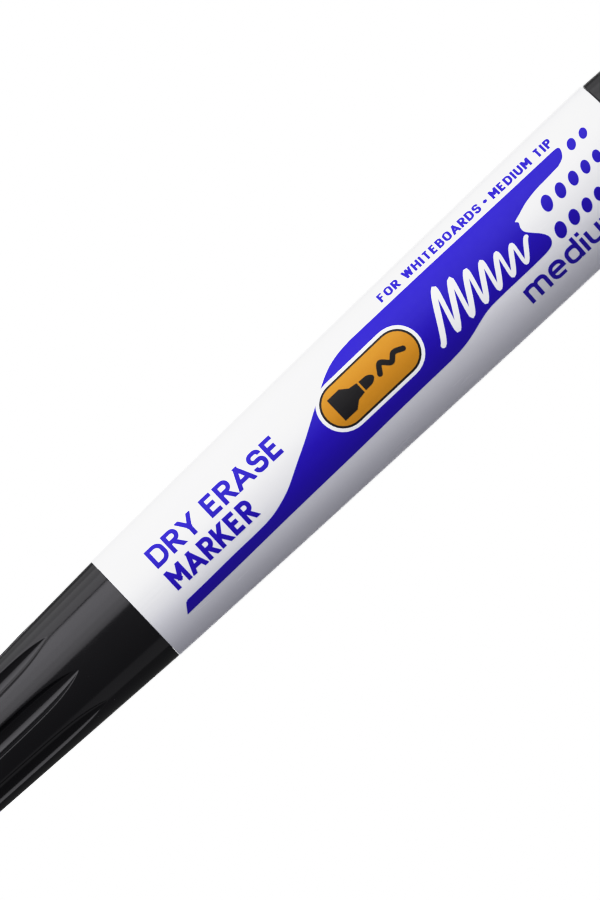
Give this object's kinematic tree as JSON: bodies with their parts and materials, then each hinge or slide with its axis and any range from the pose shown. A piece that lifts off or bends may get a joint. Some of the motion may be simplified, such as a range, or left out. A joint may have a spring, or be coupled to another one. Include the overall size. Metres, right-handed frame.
{
  "type": "whiteboard marker",
  "caption": "Whiteboard marker with a tapered barrel, a fluted pull-off cap with an inner seal, a bullet nib in a stepped holder, a fibre ink reservoir and a stepped tail plug.",
  "frame": {"origin": "centre of the tail plug's end face, which the marker stands on", "axes": "+Z along the marker's axis, from the tail plug to the closed end of the cap; -Y faces the middle of the print"},
  "size_m": [0.0162, 0.0162, 0.138],
  "materials": {
    "white_plastic": "glossy white moulded plastic",
    "black_plastic": "glossy black moulded plastic",
    "grey_plastic": "satin light grey moulded plastic",
    "liner_plastic": "satin natural polypropylene",
    "nib_fibre": "dense felted fibre soaked with black ink",
    "reservoir_fibre": "lengthwise fibre bundle soaked with black ink",
    "film": "thin clear film wrap",
    "tube_plastic": "thin translucent tube",
    "violet_print": "blue-violet printed ink",
    "black_print": "black printed ink",
    "white_print": "white printed ink",
    "amber_print": "amber printed ink"
  },
  "bodies": {
    "barrel": {"barrel": "white_plastic", "tail_plug": "black_plastic", "nib_holder": "grey_plastic", "nib": "nib_fibre", "reservoir_core": "reservoir_fibre", "reservoir_sleeve": "film", "breather_tube": "tube_plastic"},
    "liner": {"cap_liner": "liner_plastic"},
    "cap": {"cap_shell": "black_plastic"}
  },
  "joints": [
    {"name": "cap_slide", "type": "slide", "parent": "barrel", "child": "liner", "axis": [0, 0, 1], "range_m": [0, 0.05]},
    {"name": "cap_turn", "type": "hinge", "parent": "liner", "child": "cap", "pos_m": [0, 0, 0.1], "axis": [0, 0, 1], "continuous": true}
  ]
}
